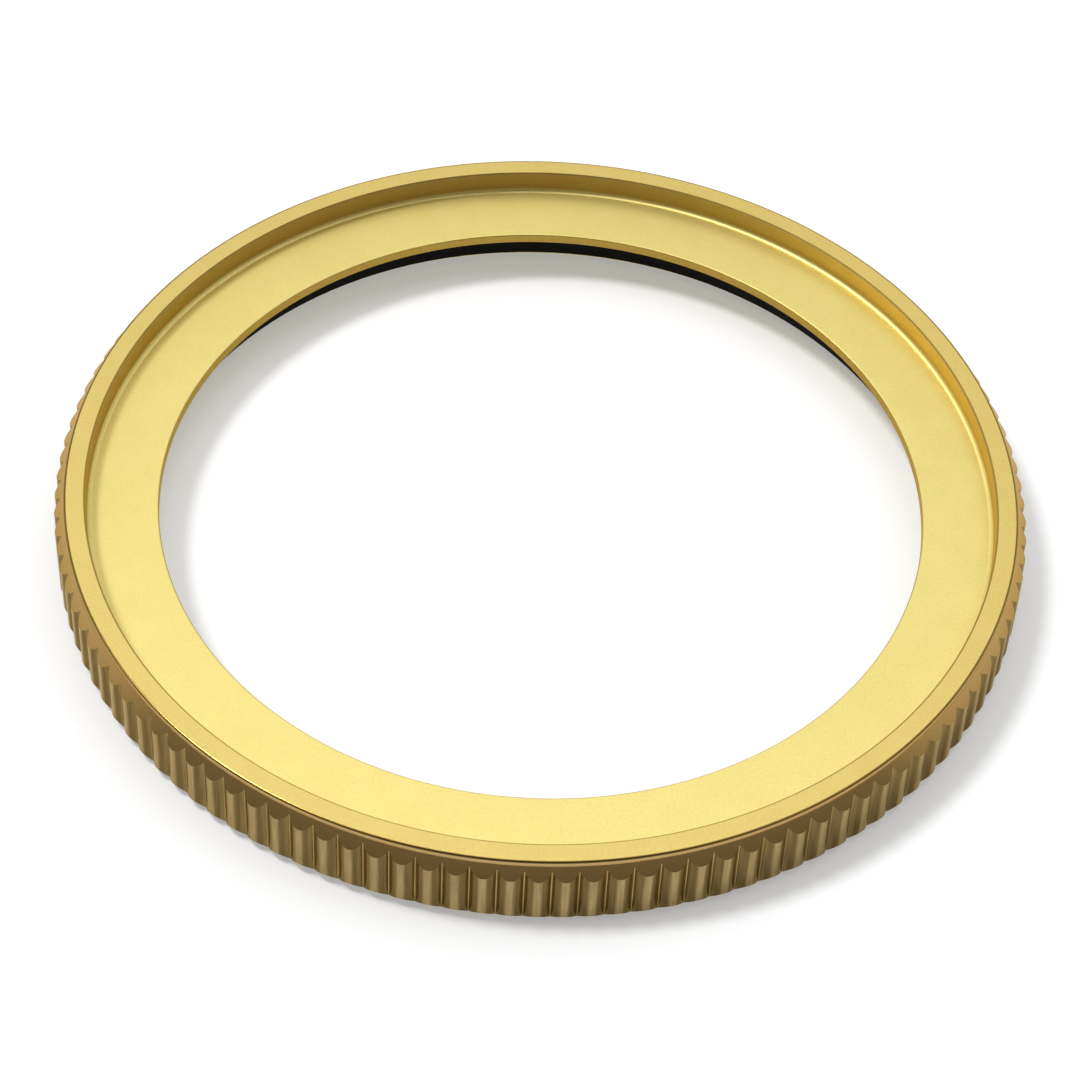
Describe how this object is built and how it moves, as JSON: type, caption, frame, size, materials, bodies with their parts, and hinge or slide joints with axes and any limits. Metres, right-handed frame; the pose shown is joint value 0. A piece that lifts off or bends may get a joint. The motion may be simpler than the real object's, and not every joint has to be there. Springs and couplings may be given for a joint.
{
  "type": "rotating watch bezel",
  "caption": "Coin-edge rotating watch bezel with an empty insert seat, a rubber retaining gasket and a fingered click spring under it.",
  "frame": {"origin": "on the ring's axis, in the plane that the bezel stands on", "axes": "+Z along the ring's axis, out of the dial side"},
  "size_m": [0.0408, 0.0408, 0.0034],
  "materials": {
    "gold_plated_steel": "fine bead-blasted steel with a yellow gold coating",
    "black_rubber": "smooth matt nitrile rubber",
    "spring_steel": "cold-rolled spring strip with stamped edges"
  },
  "bodies": {
    "case_side": {"retaining_gasket": "black_rubber", "click_spring": "spring_steel"},
    "bezel": {"bezel_ring": "gold_plated_steel"}
  },
  "joints": [
    {"name": "bezel_rotation", "type": "hinge", "parent": "case_side", "child": "bezel", "pos_m": [0, 0, 0.0006], "axis": [0, 0, 1], "continuous": true}
  ]
}
